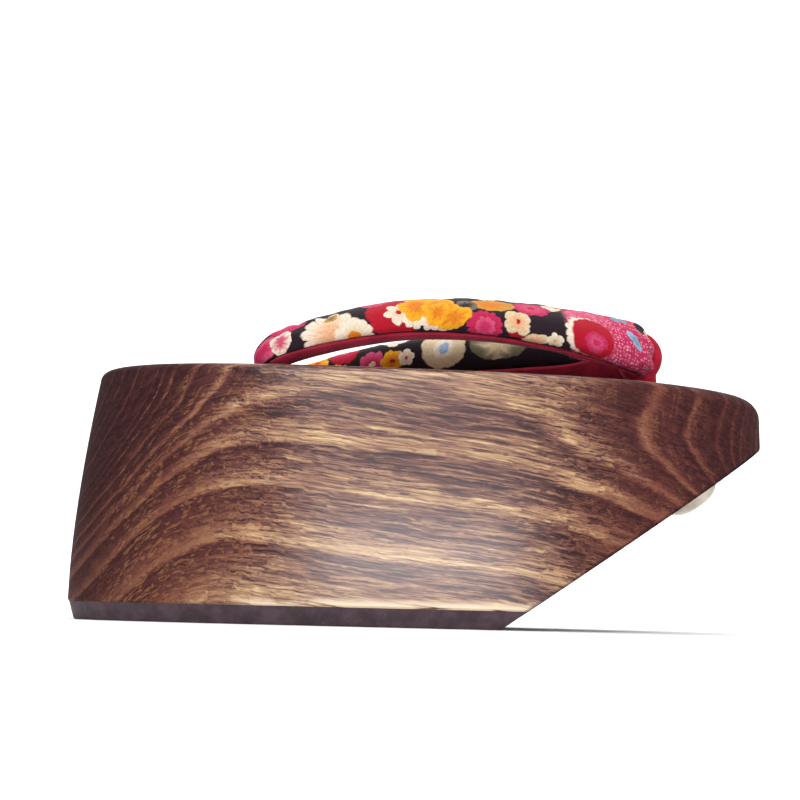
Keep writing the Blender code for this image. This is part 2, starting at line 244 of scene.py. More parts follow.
def objectPlace(tree):
    perMetre = 1 / mm  # patterns are laid out in millimetres
    place = addNode(tree, "TexCoord").outputs["Object"]
    return vectorCalc(tree, "MULTIPLY", place, (perMetre, perMetre, perMetre))


def clothPlace(tree):
    return addNode(tree, "UVMap", uv_map="cloth").outputs[0]  # millimetres along and around


def addBump(tree, shader, height, settings):
    bump = addNode(tree, "Bump", *settings["bump"])  # strength and distance
    feed(tree, bump.inputs["Height"], height)
    tree.links.new(bump.outputs[0], shader["Normal"])


def mottled(tree, place, settings, low, high):
    # colour in patches between the piece's two colours, with finer specks for the bump
    spots = useGroup(tree, mottle, Place=place, Size=settings["mottle"])
    colour = blend(tree, spread(tree, spots["Patch"], low, high), *settings["patches"])
    return colour, spots


def weaveCloth(tree, shader, place, colour, settings):
    cloth = useGroup(tree, crepe, Place=place, Thread=settings["thread"])
    # the crinkles' painted shade and highlight are multiplied onto the colour
    feed(tree, shader["Base Color"], blend(tree, 1.0, colour, cloth["Shade"], "MULTIPLY"))
    addBump(tree, shader, cloth["Height"], settings)


# shared effects
def makeMottle():
    patchScale, speckScale = 0.35, 2.6
    takes = {"Vector": "Place", "Float": "Size"}
    tree, takes, gives = newGroup("fineMottle", takes, {"Float": "Patch Speck"})
    size = joinAxes(tree, takes["Size"], takes["Size"], takes["Size"])
    scaled = vectorCalc(tree, "DIVIDE", takes["Place"], size)
    feed(tree, gives["Patch"], cloudy(tree, scaled, patchScale, 3, 0.6))
    feed(tree, gives["Speck"], cloudy(tree, scaled, speckScale, 2, 0.7))
    return tree


def makeCrepe():
    threadDepth, crimpScale = 0.35, 1.1
    takes = {"Vector": "Place", "Float": "Thread"}
    tree, takes, gives = newGroup("crepeCloth", takes, {"Float": "Height Shade"})
    thread = joinAxes(tree, takes["Thread"], takes["Thread"], 1.0)
    x, y, _ = splitAxes(tree, vectorCalc(tree, "DIVIDE", takes["Place"], thread))
    warp = calc(tree, "SINE", times(tree, x, tau))
    weft = calc(tree, "SINE", times(tree, y, tau))
    weave = timesPlus(tree, times(tree, warp, weft), 0.25, 0.5)
    crimp = cloudy(tree, takes["Place"], crimpScale, 3, 0.6)
    feed(tree, gives["Height"], plus(tree, times(tree, weave, threadDepth), crimp))
    # painted shade and highlight: the colour is darkened in the crinkles' troughs and lightened on their
    # ridges
    feed(tree, gives["Shade"], spread(tree, crimp, 0.3, 0.7, 0.82, 1.08))
    return tree


def makeFlowerOver():
    petalPower, strokesPerPetal, strokeDepth, heartSoft = 0.55, 1.5, 0.30, 0.04
    takes = {
        "Color": "Under Tip Throat Heart", "Vector": "Place Middle",
        "Float": "Reach Stretch Turn Petals Notch HeartSize",
    }
    gives = {"Color": "Colour", "Float": "Mask", "Vector": "Place"}
    tree, takes, gives = newGroup("flowerOver", takes, gives)
    fromMiddle = vectorCalc(tree, "SUBTRACT", takes["Place"], takes["Middle"])
    turned = addNode(tree, "VectorRotate", fromMiddle, rotation_type="Z_AXIS")
    feed(tree, turned.inputs["Angle"], takes["Turn"])
    x, y, _ = splitAxes(tree, turned.outputs[0])
    across = over(tree, x, takes["Reach"])
    along = times(tree, over(tree, y, takes["Reach"]), takes["Stretch"])
    radius = vectorCalc(tree, "LENGTH", joinAxes(tree, across, along))
    petalTurn = times(tree, calc(tree, "ARCTAN2", along, across), takes["Petals"])
    wave = calc(tree, "ABSOLUTE", calc(tree, "COSINE", times(tree, petalTurn, 0.5)))
    brush = calc(tree, "ABSOLUTE", calc(tree, "SINE", times(tree, petalTurn, strokesPerPetal)))
    gap = minus(tree, 1.0, calc(tree, "POWER", wave, petalPower))
    share = over(tree, radius, minus(tree, 1.0, times(tree, takes["Notch"], gap)))
    petal = spread(tree, share, 1.05, 0.95)
    vein = times(tree, spread(tree, wave, 0.35, 0.0, 0.0, 0.6), spread(tree, share, 0.15, 0.5))
    stroked = timesPlus(tree, brush, strokeDepth, minus(tree, share, 0.17))
    colour = blend(tree, spread(tree, stroked, 0.25, 0.9), takes["Throat"], takes["Tip"])
    colour = blend(tree, vein, colour, takes["Throat"])
    colour = blend(tree, petal, takes["Under"], colour)
    heart = spread(tree, minus(tree, radius, takes["HeartSize"]), heartSoft, -heartSoft)
    colour = blend(tree, heart, colour, takes["Heart"])
    feed(tree, gives["Colour"], colour)
    feed(tree, gives["Mask"], petal)
    tiny = 1e-7  # hands the place on, so a long chain is worked out one flower at a time
    handedOn = vectorCalc(tree, "MULTIPLY_ADD", colour, (tiny, tiny, tiny), takes["Place"])
    feed(tree, gives["Place"], handedOn)
    return tree


mottle = makeMottle()
crepe = makeCrepe()
flowerOver = makeFlowerOver()
print("shared effects ready")


# wooden block
block = {
    "halfLength": 115.9 * mm, "halfWidth": 50.0 * mm, "heelPower": 3.0, "toePower": 2.6,
    "foot": 5.7 * mm, "footEase": 0.5 * mm, "footLevel": 0.008, "deck": 80.4 * mm, "deckFall": 3.0 * mm,
    "backLean": 6.0 * mm, "sideLean": 3.5 * mm, "leanStart": 0.12, "leanPower": 1.6,
    "rim": 3.0 * mm, "toeRim": 7.0 * mm, "toeRimStart": 60 * mm,
    "slantFoot": 23.4 * mm, "slant": radians(34.2), "noseRadius": 8.0 * mm, "noseCuts": 9,
    "segments": 240, "levels": 24, "rimSteps": 8, "edge": 0.7 * mm, "corner": radians(35),
    "merge": 0.15 * mm,
}
hollow = {
    "middle": -39.3 * mm, "halfLength": 28.0 * mm, "halfWidth": 30.0 * mm, "top": 48.0 * mm,
    "draft": 3.0 * mm, "power": 6.0, "round": 3.0 * mm, "below": 6.0 * mm, "segments": 72,
}
holes = {"radius": 5.0 * mm, "segments": 40, "overrun": 20.0 * mm}
frontHole = {"top": Vector((77.9, 0, 79.4)) * mm, "bottomX": 93.0 * mm}
rearHole = {"top": Vector((-51.5, 32.8, 81.0)) * mm, "bottom": Vector((-49.3, 21.5, 48.0)) * mm}
slantNormal = Vector((sin(block["slant"]), 0, -cos(block["slant"])))
slantAlong = Vector((cos(block["slant"]), 0, sin(block["slant"])))


def rounded(angle, power):
    c, s = cos(angle), sin(angle)
    return copysign(abs(c) ** (2 / power), c), copysign(abs(s) ** (2 / power), s)


def outlinePoint(angle, backIn, sideIn, frontIn):
    toToe = cos(angle) > 0
    x, y = rounded(angle, block["toePower"] if toToe else block["heelPower"])
    endIn = frontIn if toToe else backIn
    return x * (block["halfLength"] - endIn), y * (block["halfWidth"] - sideIn)


def levelPoint(angle, level):
    inset, z = level
    return *outlinePoint(angle, inset, inset, inset), z


def deckHeight(x):
    return block["deck"] - block["deckFall"] * x / (2 * block["halfLength"])


def rimRadius(x):
    grown = block["toeRim"] - block["rim"]
    return block["rim"] + grown * ease(block["toeRimStart"], block["halfLength"], x)


def wallPoint(angle, share):
    lean = max(0.0, (share - block["leanStart"]) / (1 - block["leanStart"])) ** block["leanPower"]
    x, y = outlinePoint(angle, block["backLean"] * lean, block["sideLean"] * lean, 0.0)
    return Vector((x, y, block["foot"] + share * (deckHeight(x) - rimRadius(x) - block["foot"])))


def rimPoint(angle, turn):
    x, y = outlinePoint(angle, block["backLean"], block["sideLean"], 0.0)
    radius = rimRadius(x)
    inset = radius * (1 - cos(turn))
    x, y = outlinePoint(angle, block["backLean"] + inset, block["sideLean"] + inset, inset)
    return Vector((x, y, deckHeight(x) - radius * (1 - sin(turn))))


def slantPoint(x, out=0.0):
    return Vector((x, 0, (x - block["slantFoot"]) * tan(block["slant"]))) + slantNormal * out


def sliceOff(bm, point, normal):
    found = bmesh.ops.bisect_plane(bm, geom=[*bm.verts, *bm.edges, *bm.faces], dist=1e-6,
                                   plane_co=point, plane_no=normal, clear_outer=True)["geom_cut"]
    edges = [e for e in found if isinstance(e, bmesh.types.BMEdge)]
    if edges:
        bmesh.ops.edgeloop_fill(bm, edges=edges)


def cutSlant(bm):
    closeHoles(bm)
    bmesh.ops.recalc_face_normals(bm, faces=bm.faces)
    sliceOff(bm, slantPoint(block["slantFoot"]), slantNormal)


def roundNose(bm):
    radius = block["noseRadius"]
    x = block["halfLength"] - radius
    centre = slantPoint(x) + upward * radius / cos(block["slant"])
    low = block["slant"] - pi / 2
    for cut in range(1, block["noseCuts"] + 1):
        angle = low * (1 - cut / (block["noseCuts"] + 1))
        normal = Vector((cos(angle), 0, sin(angle)))
        sliceOff(bm, centre + normal * radius, normal)


def makeHollowCutter():
    levels = (
        (-hollow["below"], 0.0),
        (hollow["top"] - hollow["round"], hollow["draft"] * 0.9),
        (hollow["top"], hollow["draft"] + hollow["round"]),
    )

    def place(angle, level):
        z, inset = level
        x, y = rounded(angle, hollow["power"])
        return hollow["middle"] + x * (hollow["halfLength"] - inset), y * (hollow["halfWidth"] - inset), z

    bm = bmesh.new()
    loft(bm, hollow["segments"], levels, place)
    closeHoles(bm)
    return toPiece("hollowCutter", bm)


def makeHoleCutter(start, end):
    bm = bmesh.new()
    facing = upward.rotation_difference((end - start).normalized()).to_matrix().to_4x4()
    bmesh.ops.create_cone(bm, cap_ends=True, segments=holes["segments"], radius1=holes["radius"],
                          radius2=holes["radius"], depth=(end - start).length + holes["overrun"],
                          matrix=Matrix.Translation((start + end) / 2) @ facing)
    return toPiece("holeCutter", bm)


def makeBlock():
    bm = bmesh.new()
    rings = [(levelPoint, (block["footEase"], block["foot"]))]
    for level in range(block["levels"] + 1):
        rings.append((wallPoint, max(block["footLevel"], level / block["levels"])))
    for step in range(1, block["rimSteps"] + 1):
        rings.append((rimPoint, pi / 2 * step / block["rimSteps"]))
    loft(bm, block["segments"], rings, lambda angle, ring: ring[0](angle, ring[1]))
    cutSlant(bm)
    roundNose(bm)
    bmesh.ops.remove_doubles(bm, verts=bm.verts, dist=block["merge"])
    bmesh.ops.recalc_face_normals(bm, faces=bm.faces)
    sharp = [e for e in bm.edges if e.is_manifold and e.calc_face_angle() > block["corner"]]
    bmesh.ops.bevel(bm, geom=sharp, offset=block["edge"], offset_type="OFFSET", segments=3, profile=0.5,
                    affect="EDGES", material=-1, clamp_overlap=True)
    return toPiece("woodBlock", bm)


def drillBlock(piece, hollowCutter):
    cutters = [makeHoleCutter(frontHole["top"], slantPoint(frontHole["bottomX"]))]
    for side in (1, -1):
        cutters.append(makeHoleCutter(mirrored(rearHole["top"], side), mirrored(rearHole["bottom"], side)))
    carve(piece, [hollowCutter, *cutters])
    for cutter in cutters:
        bpy.data.objects.remove(cutter)
    addModifier(piece, "evenShading", "WEIGHTED_NORMAL", keep_sharp=True)


# the log's heart runs down from heel to toe; rings are charted by their distance from it in mm
wood = {
    "finish": {"Coat Roughness": 0.24, "IOR": 1.3, "Specular IOR Level": 0.4}, "bump": (0.25, 0.35 * mm),
    "heartHeel": 88.0, "heartToe": 58.0, "heelDrop": 22.0, "dropStart": -55.0, "dropLength": 48.0,
    "mostDrop": 1.10, "dropSoft": 0.45, "wander": 5.0, "ripple": 1.0, "chartFrom": 20.0, "chartTo": 100.0,
    "rings": (
        (20, 0.20), (28.0, 0.26), (28.6, 0.50), (29.1, 0.22), (30.5, 0.26), (31.0, 0.50), (31.5, 0.22),
        (33.0, 0.28), (33.6, 0.52), (34.1, 0.24), (37.0, 0.34), (37.8, 0.66), (38.5, 0.26), (41.6, 0.42),
        (42.6, 0.80), (43.3, 0.28), (45.2, 0.42), (46.6, 0.78), (47.8, 0.34), (49.4, 0.46), (50.8, 0.74),
        (52.4, 0.78), (53.2, 0.30), (57.0, 0.50), (60.2, 0.84), (61.2, 0.38), (67.0, 0.52), (72.6, 0.92),
        (74.0, 0.42), (80.0, 0.60), (87.0, 0.88), (89.0, 0.44),
    ),
    "coreRing": 3.1, "coreEdge": (28.0, 26.5), "coreTone": 0.24, "coreLines": (0.05, 0.34),
    "tones": (
        (0.0, (0.030, 0.009, 0.012)), (0.2, (0.066, 0.022, 0.022)), (0.42, (0.16, 0.066, 0.048)),
        (0.64, (0.31, 0.165, 0.092)), (0.82, (0.43, 0.265, 0.130)), (1.0, (0.60, 0.42, 0.22)),
    ),
    # the ends are darkened, partly scorch and partly painted shade
    "scorchAndShadeStart": 25.0, "scorchAndShadeRise": 0.0028, "scorchPatches": 0.5, "paleSpared": 0.20, "scorchLevel": 0.115,
    "heelTint": (0.30, 0.18, 0.22, 1), "toeTint": (0.50, 0.29, 0.34, 1),
    "curl": 2.4, "curlScale": 0.22, "longFibre": (0.042, 0.68, 3, 0.62), "shortFibre": (0.060, 1.7, 2, 0.6),
    "pores": (0.036, 2.1, 1, 0.5), "poreDepth": 0.34, "longDepth": 1.7, "shortDepth": 1.5, "endFibres": 0.40,
    "fleckColour": (0.24, 0.105, 0.042, 1), "fleckStretch": 0.45, "fleckScale": 0.50, "fleckCurls": 20.0,
    "heelFlecks": 0.55, "toeFlecks": 0.26,
    # painted highlight along the foot's edge
    "footHighlightBand": 3.2, "footHighlightColour": (0.74, 0.58, 0.40, 1),
    # painted shade along the slanted edge, then how thick the lacquer is
    "slantShadeBand": 1.3, "slantShadeTint": (0.42, 0.32, 0.36, 1), "lacquer": 0.75, "deckLacquer": 0.2,
}


def woodWander(tree, place, x):
    # slow and quick waves of the rings, which also sink towards the heel
    slow = minus(tree, cloudy(tree, vectorCalc(tree, "MULTIPLY", place, (0.5, 1, 1)), 0.03), 0.5)
    quick = minus(tree, cloudy(tree, vectorCalc(tree, "MULTIPLY", place, (0.35, 1, 1)), 0.16), 0.5)
    wander = timesPlus(tree, quick, wood["ripple"], times(tree, slow, wood["wander"]))
    heelward = over(tree, minus(tree, wood["dropStart"], x), wood["dropLength"])
    heelward = calc(tree, "MAXIMUM", heelward, 0.0)
    heelward = calc(tree, "SMOOTH_MIN", heelward, wood["mostDrop"], wood["dropSoft"])
    drop = times(tree, calc(tree, "POWER", heelward, 2.0), wood["heelDrop"])
    return slow, heelward, minus(tree, wander, drop)


def woodRings(tree, y, height, wander):
    ring = plus(tree, vectorCalc(tree, "LENGTH", joinAxes(tree, y, height)), wander)
    reach = wood["chartTo"] - wood["chartFrom"]
    chart = over(tree, minus(tree, ring, wood["chartFrom"]), reach)
    stops = [((mark - wood["chartFrom"]) / reach, (tone,) * 3) for mark, tone in wood["rings"]]
    charted = ramp(tree, chart, stops)
    # near the heart the rings are evenly spaced, and each has its own strength
    turns = over(tree, ring, wood["coreRing"])
    line = spread(tree, calc(tree, "FRACT", turns), 0.55, 0.98)
    uneven = cloudy(tree, joinAxes(tree, calc(tree, "FLOOR", turns), 3.3), 0.83, 1)
    strength = spread(tree, uneven, 0.35, 0.65, *wood["coreLines"])
    core = timesPlus(tree, line, strength, wood["coreTone"])
    inCore = spread(tree, ring, *wood["coreEdge"])
    tone = plus(tree, times(tree, charted, minus(tree, 1.0, inCore)), times(tree, core, inCore))
    return ring, tone


def woodScorchAndShade(tree, x, turnedEnd, slow, tone):
    # the ends are darkened, partly as scorched end grain and partly as painted shade, more with distance from
    # the middle and where the surface turns towards the end, in patches that spare the pale rings
    fromMiddle = minus(tree, calc(tree, "ABSOLUTE", x), wood["scorchAndShadeStart"])
    fromMiddle = calc(tree, "MAXIMUM", fromMiddle, 0.0)
    scorchedAndShaded = timesPlus(tree, fromMiddle, wood["scorchAndShadeRise"], turnedEnd)
    spared = timesPlus(tree, tone, -wood["paleSpared"], wood["scorchLevel"])
    patches = timesPlus(tree, slow, wood["scorchPatches"], spared)
    scorchedAndShaded = timesPlus(tree, patches, spread(tree, fromMiddle, 4.0, 30.0), scorchedAndShaded)
    return spread(tree, scorchedAndShaded, 0.0, 0.40)


def woodFibres(tree, place, x, y, level, endGrainAndShade):
    # fibres run along the log, so they show as dashes on the sides and curl where the ends turn
    swirl = minus(tree, cloudy(tree, place, wood["curlScale"]), 0.5)
    curl = times(tree, swirl, timesPlus(tree, endGrainAndShade, wood["curl"] * 2, wood["curl"] * 0.3))
    sideways, level = plus(tree, y, curl), minus(tree, level, curl)

    def streaks(stretch, *look):
        return cloudy(tree, joinAxes(tree, times(tree, x, stretch), sideways, level), *look)

    longFibre, shortFibre = streaks(*wood["longFibre"]), streaks(*wood["shortFibre"])
    pores = spread(tree, streaks(*wood["pores"]), 0.54, 0.66)
    fibre = plus(tree, timesPlus(tree, longFibre, wood["longDepth"], -wood["longDepth"] / 2),
                 timesPlus(tree, shortFibre, wood["shortDepth"], -wood["shortDepth"] / 2))
    fibre = minus(tree, fibre, times(tree, pores, wood["poreDepth"]))
    fibre = times(tree, fibre, spread(tree, endGrainAndShade, 0.3, 1.0, 1.0, wood["endFibres"]))
    return longFibre, shortFibre, fibre


def woodFlecks(tree, x, y, ring, tone, shortFibre, turnedEnd):
    # curly flecks along the rings, where the fibres are cut at a slant
    stretch = wood["fleckStretch"]
    alongRings = joinAxes(tree, times(tree, x, stretch), times(tree, y, stretch), ring)
    curly = times(tree, cloudy(tree, alongRings, wood["fleckScale"], 1), wood["fleckCurls"])
    curly = spread(tree, calc(tree, "SINE", curly), 0.0, 0.9)
    slanted = times(tree, spread(tree, turnedEnd, 0.05, 0.15), spread(tree, turnedEnd, 0.65, 0.35))
    between = times(tree, spread(tree, tone, 0.26, 0.40), spread(tree, ring, 28.0, 32.0))
    strength = spread(tree, x, -20.0, 20.0, wood["heelFlecks"], wood["toeFlecks"])
    return times(tree, curly, spread(tree, shortFibre, 0.40, 0.56), between, slanted, strength)


def woodEdgeLightAndShade(tree, colour, place, longFibre, endGrainAndShade):
    # painted highlight: the foot's edge is lightened in streaks; painted shade: the slanted edge is darkened
    aboveFoot = minus(tree, splitAxes(tree, place)[2], block["foot"] / mm)
    footHighlight = times(tree, spread(tree, aboveFoot, wood["footHighlightBand"], 0.6), spread(tree, longFibre, 0.36, 0.54),
                   spread(tree, endGrainAndShade, 0.35, 0.05))
    colour = blend(tree, footHighlight, colour, wood["footHighlightColour"])
    slantPlane = block["slantFoot"] / mm * sin(block["slant"])
    aboveSlant = minus(tree, slantPlane, vectorCalc(tree, "DOT_PRODUCT", place, slantNormal))
    # painted shade: darker within a band along the slanted edge
    slantShade = spread(tree, aboveSlant, wood["slantShadeBand"], 0.3)
    return blend(tree, slantShade, colour, wood["slantShadeTint"], "MULTIPLY")


def makeWood():
    material, tree, shader = newMaterial("scorchedWood", wood["finish"])
    place = objectPlace(tree)
    x, y, z = splitAxes(tree, place)
    normal = splitAxes(tree, addNode(tree, "TexCoord").outputs["Normal"])
    turnedEnd = calc(tree, "ABSOLUTE", normal[0])
    slope = (wood["heartToe"] - wood["heartHeel"]) / (2 * block["halfLength"] / mm)
    heart = timesPlus(tree, x, slope, (wood["heartToe"] + wood["heartHeel"]) / 2)
    height = minus(tree, z, heart)
    slow, heelward, wander = woodWander(tree, place, x)
    ring, tone = woodRings(tree, y, height, wander)
    endGrainAndShade = woodScorchAndShade(tree, x, turnedEnd, slow, tone)
    longFibre, shortFibre, fibre = woodFibres(tree, place, x, y, minus(tree, height, wander), endGrainAndShade)
    shade = timesPlus(tree, plus(tree, tone, fibre), 0.84, 0.03, clamp=True)
    # painted shade and scorch: the ends are darkened towards these tints
    endTint = blend(tree, heelward, wood["toeTint"], wood["heelTint"])
    colour = blend(tree, endGrainAndShade, ramp(tree, shade, wood["tones"]), endTint, "MULTIPLY")
    flecks = woodFlecks(tree, x, y, ring, tone, shortFibre, turnedEnd)
    colour = blend(tree, flecks, colour, wood["fleckColour"])
    feed(tree, shader["Base Color"], woodEdgeLightAndShade(tree, colour, place, longFibre, endGrainAndShade))
    satin = spread(tree, shade, 0.1, 0.9, 0.50, 0.38)
    feed(tree, shader["Roughness"], timesPlus(tree, endGrainAndShade, 0.25, satin))
    # the lacquer is thick on the sides, thin on the deck and burnt away at the ends
    onSides = spread(tree, endGrainAndShade, 0.0, 0.6, wood["lacquer"], 0.0)
    onDeck = spread(tree, normal[2], 0.35, 0.9, 1.0, wood["deckLacquer"])
    feed(tree, shader["Coat Weight"], times(tree, onSides, onDeck))
    addBump(tree, shader, shade, wood)
    return material


woodBlock = makeBlock()
hollowCutter = makeHollowCutter()
drillBlock(woodBlock, hollowCutter)
dress(woodBlock, makeWood(), "wood_platform")
print("wooden block made")


# rubber outsole
sole = {
    "thickness": 5.7 * mm, "draft": 2.0 * mm, "topIn": 0.5 * mm, "edge": 0.6 * mm, "segments": 240,
    "finish": {"Specular IOR Level": 0.4}, "mottle": 1.6, "bump": (0.25, 0.25 * mm),
    "patches": ((0.032, 0.017, 0.023, 1), (0.080, 0.046, 0.060, 1)), "speck": (0.17, 0.14, 0.15, 1),
}


def makeOutsole():
    bm = bmesh.new()
    levels = (
        (sole["draft"] + sole["edge"], 0.0),
        (sole["draft"], sole["edge"]),
        (sole["topIn"], sole["thickness"]),
    )
    loft(bm, sole["segments"], levels, levelPoint)
    cutSlant(bm)
    piece = toPiece("rubberOutsole", bm)
    carve(piece, [hollowCutter])
    return piece


def makeRubber():
    material, tree, shader = newMaterial("darkRubber", sole["finish"])
    colour, spots = mottled(tree, objectPlace(tree), sole, 0.3, 0.75)
    colour = blend(tree, spread(tree, spots["Speck"], 0.62, 0.75, 0.0, 0.5), colour, sole["speck"])
    feed(tree, shader["Base Color"], colour)
    feed(tree, shader["Roughness"], spread(tree, spots["Patch"], 0.3, 0.8, 0.62, 0.82))
    addBump(tree, shader, spots["Speck"], sole)
    return material


rubberOutsole = makeOutsole()
bpy.data.objects.remove(hollowCutter)
dress(rubberOutsole, makeRubber(), "rubber_outsole")
print("rubber outsole made")


# padded strap: sections from the middle of the V to the rear hole, in mm, with their lean in degrees
strap = {
    "columns": ("x", "y", "z", "width", "thickness", "lean"),
    "rows": (
        (75.2, 0.0, 95.2, 11.5, 7.0, 82), (75.2, 5.0, 95.4, 13.0, 8.0, 79),
        (73.6, 10.4, 95.9, 19.6, 10.8, 70), (66.8, 16.4, 96.3, 21.8, 11.8, 58),
        (55.0, 22.4, 97.5, 22.0, 12.2, 46), (38.7, 27.6, 99.0, 21.2, 12.4, 37),
        (18.7, 31.8, 99.8, 20.6, 12.6, 28), (-3.3, 34.4, 98.9, 19.8, 12.4, 22),
        (-21.3, 35.2, 95.8, 18.2, 12.0, 18), (-35.3, 35.2, 92.0, 16.6, 11.6, 14),
        (-45.0, 34.6, 88.6, 14.8, 11.6, 10), (-50.2, 33.6, 85.0, 12.4, 10.8, 5),
        (-51.5, 33.0, 81.6, 8.4, 8.4, 0),
    ),
    # the cord end and its knot: mm down the hole, size
    "tail": ((3.2, 7.4), (9.0, 5.6), (34.0, 5.2), (36.8, 9.2), (39.4, 10.6), (41.8, 9.2), (43.4, 4.4)),
    "steps": 12, "segments": 64, "firstAngle": radians(-130),
    "seamOuter": radians(205), "seamInner": radians(250), "seamRise": 0.85,
    "seamWidth": 0.10, "seamDepth": 0.45 * mm,
    "gather": 0.5 * mm, "gatherCount": 7, "gatherTwist": 90, "gatherSink": 0.6, "holeGathers": 0.8,
    "byThong": (6 * mm, 24 * mm), "byHole": (118 * mm, 142 * mm),
    "lump": 0.28 * mm, "lumpScale": 130, "ripple": 0.16 * mm, "rippleScale": 420, "creaseRidge": 0.45,
    "creaseColumns": ("along", "angle", "reach", "slant", "width", "depth"),
    "creases": (
        (11, 150, 50, 3.0, 1.5, 0.55), (17, 110, 45, 4.0, 1.7, 0.50), (25, 160, 40, -3.0, 1.8, 0.40),
        (46, 30, 40, 2.5, 2.2, 0.35), (64, 25, 45, -2.5, 2.2, 0.35), (83, 30, 45, 2.5, 2.4, 0.35),
        (124, 140, 55, 4.0, 1.8, 0.50), (131, 95, 50, -4.0, 1.7, 0.55), (138, 150, 50, 3.0, 1.5, 0.60),
    ),
    "finish": {"Specular IOR Level": 0.18, "Sheen Weight": 0.05, "Sheen Roughness": 0.4, "Roughness": 0.78},
    "thread": 0.45, "bump": (0.35, 0.22 * mm), "printSway": 1.8,
    "dotScale": 0.85, "dotScatter": 0.45, "dotColour": (0.78, 0.36, 0.44, 1),
}
backing = {
    "thickness": 1.3 * mm, "cloth": 1.04 * mm, "end": 83.0 * mm, "tuck": 0.10, "tuckDepth": 0.45 * mm,
    "points": 17, "thread": 0.35, "bump": (0.3, 0.2 * mm), "mottle": 3.0,
    "finish": {"Specular IOR Level": 0.15, "Sheen Weight": 0.05, "Roughness": 0.85},
    "patches": ((0.22, 0.008, 0.026, 1), (0.33, 0.014, 0.040, 1)),
}


def curveThrough(before, start, end, after, t):
    bend = 2 * before - 5 * start + 4 * end - after
    return start + 0.5 * t * (end - before + t * (bend + t * (3 * (start - end) + after - before)))


def strapRows():
    rows = strap["rows"]
    otherArm = [-v if c == "y" else v for c, v in zip(strap["columns"], rows[1])]
    padded = [otherArm, *rows, rows[-1]]
    filled = []
    for four in zip(padded, padded[1:], padded[2:], padded[3:]):
        for step in range(strap["steps"]):
            filled.append([curveThrough(*values, step / strap["steps"]) for values in zip(*four)])
    filled.append(rows[-1])
    axis = (rearHole["bottom"] - rearHole["top"]).normalized()
    for depth, size in strap["tail"]:
        filled.append([*((rearHole["top"] + axis * depth * mm) / mm), size, size, 0])
    return filled


def strapSections():
    made = []
    for x, y, z, width, thickness, lean in strapRows():
        half = (width * mm / 2, thickness * mm / 2)
        made.append({"centre": Vector((x, y, z)) * mm, "half": half, "lean": radians(lean)})
    face, along = upward, 0.0
    for i, section in enumerate(made):
        before = made[i - 1]["centre"] if i else mirrored(made[1]["centre"], -1)
        heading = (made[min(i + 1, len(made) - 1)]["centre"] - before).normalized()
        upright = upward - heading * upward.dot(heading)
        if upright.length < 0.5:  # the steep cord end keeps the last face
            upright = face - heading * face.dot(heading)
        face = upright.normalized()
        tilt = Matrix.Rotation(section["lean"], 3, heading)
        section["across"], section["face"] = tilt @ face.cross(heading), tilt @ face
        along += (section["centre"] - made[i - 1]["centre"]).length if i else 0.0
        section["along"] = along
        section["backed"] = section["centre"].z > backing["end"]
    return made


def sectionPoint(section, angle, inset, side):
    a, b = section["half"]
    across = section["across"] * (a - inset) * cos(angle)
    return mirrored(section["centre"] + across + section["face"] * (b - inset) * sin(angle), side)


def innerSeam(section):
    return strap["seamInner"] + strap["seamRise"] * section["lean"]


def creaseDepth(along, angle):
    # a soft trough with a low ridge on either side, fading out round the strap
    depth = 0.0
    for row in strap["creases"]:
        crease = dict(zip(strap["creaseColumns"], row))
        turned = angle - radians(crease["angle"])
        fade = exp(-(turned / radians(crease["reach"])) ** 4)
        away = (along / mm - crease["along"] - crease["slant"] * turned) / crease["width"]
        ridged = 1.0 - strap["creaseRidge"] * away * away
        depth -= crease["depth"] * mm * fade * ridged * exp(-away * away / 2)
    return depth


def strapPuff(section, angle, side):
    # soft gathers by the thong and the rear hole, a drawn-in seam and slight lumps of the wadding
    along = section["along"]
    gathered = 1 - ease(*strap["byThong"], along) + strap["holeGathers"] * ease(*strap["byHole"], along)
    folds = cos(angle * strap["gatherCount"] + along * strap["gatherTwist"]) - strap["gatherSink"]
    seams = (strap["seamOuter"], innerSeam(section) - tau)
    nearSeam = max(exp(-((angle - seam) / strap["seamWidth"]) ** 2) for seam in seams)
    lumpPlace = Vector((along * strap["lumpScale"], sin(angle) * 1.4, cos(angle) * 1.4 + side * 7))
    ripplePlace = Vector((along * strap["rippleScale"], angle * 1.1, side * 3.0))
    lumps = strap["lump"] * noise.noise(lumpPlace) + strap["ripple"] * noise.noise(ripplePlace)
    gathers = strap["gather"] * gathered * folds
    return gathers - strap["seamDepth"] * nearSeam + lumps + creaseDepth(along, angle)


def strapRing(section, side):
    count = strap["segments"]
    points, seam = [], 0
    for i in range(count):
        angle = strap["firstAngle"] + tau * i / count
        if angle < strap["seamOuter"]:
            seam = i
        pastOuter = angle - strap["seamOuter"]
        pastInner = innerSeam(section) - tau - angle
        under = max(pastOuter, pastInner) > strap["seamWidth"]
        inset = backing["thickness"] if under and section["backed"] else -strapPuff(section, angle, side)
        if not section["backed"]:
            inset = max(0.0, inset)
        points.append(sectionPoint(section, angle, inset, side))
    return points, seam


def backingRing(section, side):
    start, end = strap["seamOuter"] + backing["tuck"], innerSeam(section) - backing["tuck"]
    last = backing["points"] - 1
    angles = [start + (end - start) * i / last for i in range(backing["points"])]
    return [sectionPoint(section, angle, backing["tuckDepth"], side) for angle in angles], 0


def newClothMesh():
    bm = bmesh.new()
    bm.verts.layers.float.new("along")
    bm.verts.layers.float.new("around")
    bm.verts.layers.int.new("order")
    return bm


